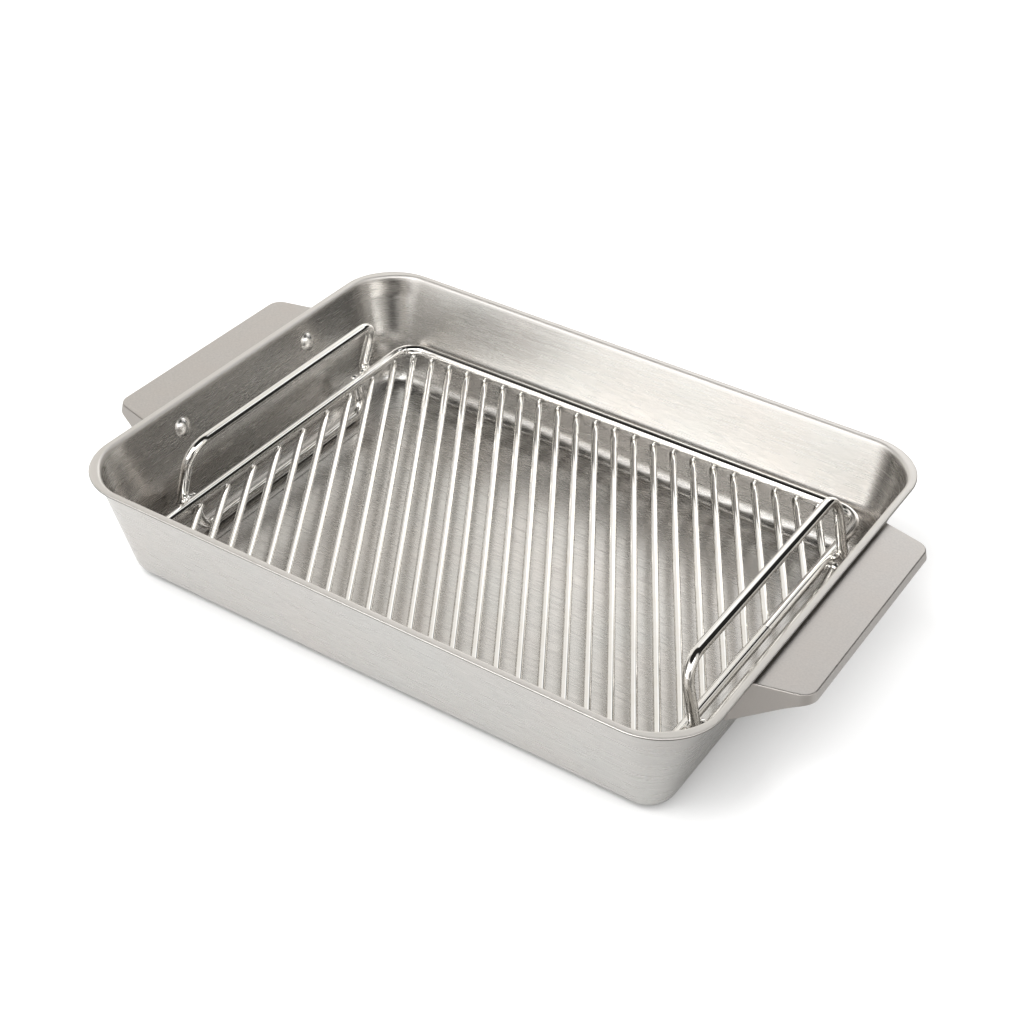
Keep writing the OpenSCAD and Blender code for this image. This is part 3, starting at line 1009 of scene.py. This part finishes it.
def add_beads(piece, beads):
    """Adds weld beads to a piece: each a centre, half sizes, a roughness and a seed."""
    work = bmesh.new()
    work.from_mesh(piece.data)
    for centre, half, rough, seed in beads:
        for v in bmesh.ops.create_icosphere(work, subdivisions=4, radius=1.0)["verts"]:
            n = v.co.normalized()
            lumps = noise.noise(n * 1.9 + Vector((seed, 0, 0))) + 0.45 * noise.noise(n * 4.7 + Vector((0, seed, 0)))
            v.co = Vector(centre) + n * Vector(half) * (1 + rough * lumps)
            for f in v.link_faces:
                f.smooth = True
    work.to_mesh(piece.data)
    work.free()


def frame_half_sizes():
    """Half sizes of the frame's centre line."""
    return (FRAME_HI.x - FRAME_LO.x - FRAME_WIRE) / 2, (FRAME_HI.y - FRAME_LO.y - FRAME_WIRE) / 2


def frame_path():
    """The frame's closed centre line, with its butt welds."""
    a, b = frame_half_sizes()
    corners = [(RACK_X + x * a, y * b, FRAME_Z) for x, y in ((1, -1), (1, 1), (-1, 1), (-1, -1))]
    points = [(p, 1.0) for p in rounded_path(corners, settings().rack_wire.frame_corner, True)]
    for i, f, half_width in FRAME_WELDS:
        points = with_swelling(points, i, f, half_width)
    return points


def loop_path(side, up, kind):
    """A loop of wire outside the frame: a rack handle when up is 1, a foot when it is -1."""
    s = settings().rack_wire
    width, rise, tilt, r, tail = (getattr(s, f"{kind}_{name}") for name in ("width", "rise", "tilt", "bend", "tail"))
    reach = (FRAME_WIRE + s.loop_wire) / 2 - s.weld_sink
    base = Vector((frame_half_sizes()[0] + reach / math.cos(tilt), 0, FRAME_Z))
    run = Vector((-math.sin(tilt), 0, up * math.cos(tilt)))
    wide = Vector((0, width / 2, 0))
    corners = [base - run * tail - wide, base + run * rise - wide, base + run * rise + wide, base - run * tail + wide]
    points = rounded_path([(RACK_X + side * c.x, c.y, c.z) for c in corners], r, False)
    return with_ends(points, s.loop_wire / 2)


# How far weld beads stand out of the frame's side
BEAD_OUT = 0.0002
# Weld beads at a loop's legs: place outward along the width and up, half sizes, roughness, and step of the seed
GRIP_BEADS = (
    (-0.0008, 0.0008, (0.0031, 0.0037, 0.0030), 0.34, 0.4),
    (-0.0030, 0.0012, (0.0022, 0.0040, 0.0020), 0.20, 5.4),
)
FOOT_BEADS = ((0.0006, -0.0018, (0.0018, 0.0036, 0.0018), 0.14, 0.0),)
# The seam on a rack handle's bar: half sizes and roughness
SEAM_HALF, SEAM_ROUGH = (0.0035, 0.0006, 0.0032), 0.05
# How far the nuggets' middles lie above the cross wires
NUGGET_LIFT = 0.0001


def loop_beads(side, width, beads):
    """Weld beads between the frame and both legs of a handle or foot."""
    x = RACK_X + side * (frame_half_sizes()[0] + FRAME_WIRE / 2 + BEAD_OUT)
    return [
        ((x, end * (width / 2 + out), FRAME_Z + up), half, rough, 3.1 * k + 1.7 * side + seed)
        for k, end in enumerate((-1, 1))
        for out, up, half, rough, seed in beads
    ]


def wires(name, paths, diameter, faces, *nodes, closed=False, beads=()):
    """Round wires along paths as one piece of the rack."""
    finish = shared("bright_plated_wire")
    piece = grown(name, path_mesh(name, paths, closed), wire_tree(), {
        "Wire Radius": diameter / 2, "Sides": faces, "Finish": finish,
    })
    add_beads(piece, beads)
    finish_piece(piece, "rack", "rack_chrome", finish, *nodes)


class COOKWARE_OT_rack_frame(bpy.types.Operator):
    """Build the rack's closed frame of thick wire"""

    bl_idname = "cookware.rack_frame"
    bl_label = "Rack Frame"

    def execute(self, context):
        s = settings().rack_wire
        wires("rack_frame_wire", [frame_path()], FRAME_WIRE, s.round_faces, "rack_frame", closed=True)
        return {"FINISHED"}


class COOKWARE_OT_rack_handles(bpy.types.Operator):
    """Build the rack's two upright handles"""

    bl_idname = "cookware.rack_handles"
    bl_label = "Rack Handles"

    def execute(self, context):
        s = settings().rack_wire
        for side, node, seam_y in ((1, "rack_handle_right", 0.007), (-1, "rack_handle_left", 0.003)):
            path = loop_path(side, 1, "grip")
            beads = loop_beads(side, s.grip_width, GRIP_BEADS)
            # The butt weld's seam on the bar, between the two bends
            bend_end = len(WIRE_END) + BEND_STEPS
            bar = (path[bend_end][0] + path[bend_end + 1][0]) / 2
            beads.append((bar + Vector((0, seam_y, -0.0003)), SEAM_HALF, SEAM_ROUGH, side))
            wires(node + "_wire", [path], s.loop_wire, s.round_faces, node, beads=beads)
        return {"FINISHED"}


class COOKWARE_OT_rack_feet(bpy.types.Operator):
    """Build the rack's two feet"""

    bl_idname = "cookware.rack_feet"
    bl_label = "Rack Feet"

    def execute(self, context):
        s = settings().rack_wire
        for side, node in ((1, "rack_foot_right"), (-1, "rack_foot_left")):
            beads = loop_beads(side, s.foot_width, FOOT_BEADS)
            wires(node + "_wire", [loop_path(side, -1, "foot")], s.loop_wire, s.round_faces, node, beads=beads)
        return {"FINISHED"}


def cross_line(node):
    """The two ends of a cross wire's centre line, read from its CAD box."""
    s = settings().rack_wire
    lo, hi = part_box(node)
    r = s.cross_wire / 2
    dx, dy = r * abs(math.sin(s.cross_angle)), r * abs(math.cos(s.cross_angle))
    z = (lo.z + hi.z) / 2
    return [Vector((hi.x - dx, lo.y + dy, z)), Vector((lo.x + dx, hi.y - dy, z))]


def cross_welds():
    """The weld nuggets beside the frame at both ends of every cross wire."""
    s = settings().rack_wire
    lift = Vector((0, 0, s.cross_wire / 2 + NUGGET_LIFT))
    points = []
    for low, high in map(cross_line, CROSS_NODES):
        run = (high - low).normalized() * s.nugget_inset
        points += [low + run + lift, high - run + lift]
    finish = shared("bright_plated_wire")
    piece = grown("cross_wire_welds", mesh_of("cross_wire_weld_points", points), nugget_tree(), {
        "Nugget Radius": s.nugget, "Nugget Shape": (1.15, 1.0, 0.8), "Smallest": 0.85, "Largest": 1.12,
        "Seed": 4, "Finish": finish,
    })
    dress(piece, "rack", finish)


class COOKWARE_OT_cross_wires(bpy.types.Operator):
    """Build the slanting cross wires under the frame"""

    bl_idname = "cookware.cross_wires"
    bl_label = "Cross Wires"

    def execute(self, context):
        s = settings().rack_wire
        paths = [with_ends(cross_line(n), s.cross_wire / 2) for n in CROSS_NODES]
        wires("cross_wires", paths, s.cross_wire, s.cross_faces, *CROSS_NODES)
        cross_welds()
        return {"FINISHED"}


# --- Studio ---

FLOOR_HALF = 6.0
# Where the floor's shine fades out, along X
SHINE_FADE = (0.12, 0.24)
# The back card: its left and right edge, its place behind the pan, and its lower and upper edge
CARD_LEFT, CARD_RIGHT, CARD_Y, CARD_LOW, CARD_HIGH = -0.10, 0.235, 0.614, 0.40, 1.05
CAMERA_PLACE = (0.4561, -0.7293, 0.6792)
LAMP_PLACE = (-0.45, -1.0, 1.95)
# Elevations between which the dome darkens to its ceiling, in degrees
CEILING_EDGE = (48, 62)
SKY_LIGHTS = (
    # middle azimuth, half width, lowest and highest elevation, softness, level added to the dome
    (256, 19, -30, 60, 3, 1.94),  # softbox, front left
    (212, 22, -30, 34, 3, -0.65),  # gap, left of it
    (315, 55, 36, 58, 6, 1.59),  # softbox, front
    (105, 16, 20, 38, 6, 1.27),  # softbox, back
    (56, 27, -30, 60, 7, -0.93),  # gap, right back
    (5, 20, 24, 60, 9, -0.20),  # gap, right
    (317, 12, -30, 34, 6, -0.93),  # gap, front right
    (195, 16, 20, 60, 9, -0.49),  # gap, left
)


def staged_quad(name, material_name, corners):
    """A piece of the stage with one face, and the empty tree of its material."""
    material = bpy.data.materials.new(material_name)
    material.use_nodes = True
    material.node_tree.nodes.clear()
    mesh = mesh_of(name, corners, [(0, 1, 2, 3)])
    mesh.materials.append(material)
    quad = linked(name, mesh)
    return quad, Nodes(material.node_tree)


def studio_floor():
    """The pale floor, white to the camera and in reflections, with the pan's shadow."""
    s = settings().studio
    h = FLOOR_HALF
    _, t = staged_quad("studio_floor", "pale_floor", [(-h, -h, 0), (h, -h, 0), (h, h, 0), (-h, h, 0)])
    matt = t.node("ShaderNodeBsdfDiffuse", Color=s.floor_colour)
    across = t.node("ShaderNodeSeparateXYZ", Vector=t.node("ShaderNodeTexCoord").outputs["Object"])
    shine = t.ranged(across.outputs["X"], *SHINE_FADE, s.floor_shine, s.floor_shine_right)
    ray = t.node("ShaderNodeLightPath").outputs
    level = 0.0
    for kind, strength in (("Camera", s.floor_glow), ("Transmission", s.floor_glow), ("Glossy", shine)):
        level = t.math("MULTIPLY_ADD", ray[f"Is {kind} Ray"], strength, level)
    near = t.node("ShaderNodeAmbientOcclusion", Distance=s.contact_reach)
    glow = t.node("ShaderNodeEmission", Strength=t.math("MULTIPLY", level, near.outputs["AO"]))
    both = t.node("ShaderNodeAddShader")
    t.feed(matt.outputs[0], both.inputs[0])
    t.feed(glow.outputs[0], both.inputs[1])
    t.node("ShaderNodeOutputMaterial", Surface=both.outputs[0])


def back_card():
    """A white card behind the pan, which only the shiny surfaces see."""
    corners = [
        (CARD_LEFT, CARD_Y, CARD_LOW), (CARD_RIGHT, CARD_Y, CARD_LOW),
        (CARD_RIGHT, CARD_Y, CARD_HIGH), (CARD_LEFT, CARD_Y, CARD_HIGH),
    ]
    card, t = staged_quad("back_card", "white_card", corners)
    glow = t.node("ShaderNodeEmission", Strength=settings().studio.card_level)
    t.node("ShaderNodeOutputMaterial", Surface=glow.outputs[0])
    card.visible_camera = card.visible_diffuse = card.visible_shadow = False


def studio_light():
    """A white dome with softboxes round the table, dark gaps between them and a dark ceiling."""
    s = settings().studio
    world = bpy.data.worlds.new("softbox_dome")
    world.use_nodes = True
    t = Nodes(world.node_tree)

    def edge(value, start, end):
        return t.ranged(value, start, end, 0.0, 1.0, "SMOOTHERSTEP")

    parts = t.node("ShaderNodeSeparateXYZ", Vector=t.node("ShaderNodeTexCoord").outputs["Generated"]).outputs
    azimuth = t.math("MULTIPLY", t.math("ARCTAN2", parts["Y"], parts["X"]), 180 / math.pi)
    elevation = t.math("MULTIPLY", t.math("ARCSINE", parts["Z"]), 180 / math.pi)
    darker = t.math("MULTIPLY", edge(elevation, *CEILING_EDGE), s.dome_level - s.ceiling_level)
    total = t.math("SUBTRACT", s.dome_level, darker)
    white = 0.0
    for middle, half, low, high, soft, level in SKY_LIGHTS:
        aside = t.math("ABSOLUTE", t.math("WRAP", t.math("SUBTRACT", azimuth, middle), 180.0, -180.0))
        patch = t.math("MULTIPLY", edge(aside, half + soft, half - soft), edge(elevation, high + soft, high - soft))
        if low > 0:
            patch = t.math("MULTIPLY", patch, edge(elevation, low - soft, low + soft))
        total = t.math("ADD", total, t.math("MULTIPLY", patch, level))
        if level > 0:
            white = t.math("MAXIMUM", patch, white)
    # The camera sees the dome plain white
    seen = t.node("ShaderNodeLightPath").outputs["Is Camera Ray"]
    total = t.math("MAXIMUM", total, s.ceiling_level)
    total = t.math("MULTIPLY_ADD", seen, t.math("SUBTRACT", 1.0, total), total)
    background = t.tree.nodes["Background"]
    t.feed(t.mixed(t.math("MAXIMUM", white, seen), s.dome_colour, (1, 1, 1)), background.inputs["Color"])
    t.feed(total, background.inputs["Strength"])
    bpy.context.scene.world = world


def studio_lamp():
    """A broad soft lamp over the table, which whitens the floor and keeps the pan's shadow short."""
    s = settings().studio
    data = bpy.data.lights.new("overhead_softbox", "AREA")
    data.shape = "DISK"
    data.size = s.lamp_size
    data.energy = s.lamp_power
    lamp = linked("overhead_softbox", data)
    lamp.location = LAMP_PLACE
    lamp.rotation_euler = (-lamp.location).to_track_quat("-Z", "Y").to_euler()
    lamp.visible_glossy = False


def studio_camera():
    """The camera at the photograph's viewing angle."""
    s = settings().studio
    camera = bpy.data.cameras.new("camera")
    camera.sensor_width = 36
    camera.lens = s.lens
    camera.clip_end = 50
    holder = linked("camera", camera)
    az, el = s.azimuth, s.elevation
    forward = Vector((-math.sin(az) * math.cos(el), math.cos(az) * math.cos(el), -math.sin(el)))
    turn = forward.to_track_quat("-Z", "Y").to_matrix() @ Matrix.Rotation(s.roll, 3, "Z")
    holder.matrix_world = Matrix.Translation(CAMERA_PLACE) @ turn.to_4x4()
    bpy.context.scene.camera = holder


class COOKWARE_OT_studio(bpy.types.Operator):
    """Set up the floor, the light and the camera"""

    bl_idname = "cookware.studio"
    bl_label = "Studio"

    def execute(self, context):
        context.scene.view_settings.view_transform = "Standard"
        for part in (studio_floor, studio_light, back_card, studio_lamp, studio_camera):
            part()
        return {"FINISHED"}


# --- Add-on ---


class RoastingPanSettings(bpy.types.PropertyGroup):
    """All settings of the roasting pan."""

    sheet_pan: PointerProperty(type=SheetPanSizes, name="Sheet pan", description="Sizes of the sheet pan")
    cast_handle: PointerProperty(type=CastHandleSizes, name="Cast handles", description="Sizes of the handles")
    rivet: PointerProperty(type=RivetSizes, name="Rivets", description="Sizes of the rivets")
    rack_wire: PointerProperty(type=RackWireSizes, name="Rack wires", description="Sizes of the rack")
    finish: PointerProperty(type=FinishSettings, name="Finishes", description="Colours and gloss")
    studio: PointerProperty(type=StudioSettings, name="Studio", description="Camera, floor and light")


OPERATORS = (
    COOKWARE_OT_sheet_pan,
    COOKWARE_OT_cast_handles,
    COOKWARE_OT_rivets,
    COOKWARE_OT_rack_frame,
    COOKWARE_OT_rack_handles,
    COOKWARE_OT_rack_feet,
    COOKWARE_OT_cross_wires,
    COOKWARE_OT_studio,
)


class VIEW3D_PT_roasting_pan(bpy.types.Panel):
    """Sidebar panel with the pan's settings and its building steps"""

    bl_label = "Roasting Pan"
    bl_idname = "VIEW3D_PT_roasting_pan"
    bl_space_type = "VIEW_3D"
    bl_region_type = "UI"
    bl_category = "Roasting Pan"

    def draw(self, context):
        for group in RoastingPanSettings.__annotations__:
            sizes = getattr(context.scene.roasting_pan, group)
            box = self.layout.box()
            box.label(text=sizes.bl_rna.description)
            for name in type(sizes).__annotations__:
                box.prop(sizes, name)
        for operator in OPERATORS:
            self.layout.operator(operator.bl_idname)


CLASSES = (
    SheetPanSizes,
    CastHandleSizes,
    RivetSizes,
    RackWireSizes,
    FinishSettings,
    StudioSettings,
    RoastingPanSettings,
    *OPERATORS,
    VIEW3D_PT_roasting_pan,
)


def register():
    """Registers the add-on."""
    for cls in CLASSES:
        bpy.utils.register_class(cls)
    bpy.types.Scene.roasting_pan = PointerProperty(type=RoastingPanSettings)


def unregister():
    """Removes the add-on."""
    del bpy.types.Scene.roasting_pan
    for cls in reversed(CLASSES):
        bpy.utils.unregister_class(cls)


def main():
    register()
    for operator in OPERATORS:
        getattr(bpy.ops.cookware, operator.bl_idname.split(".")[1])()


if __name__ == "__main__":
    main()
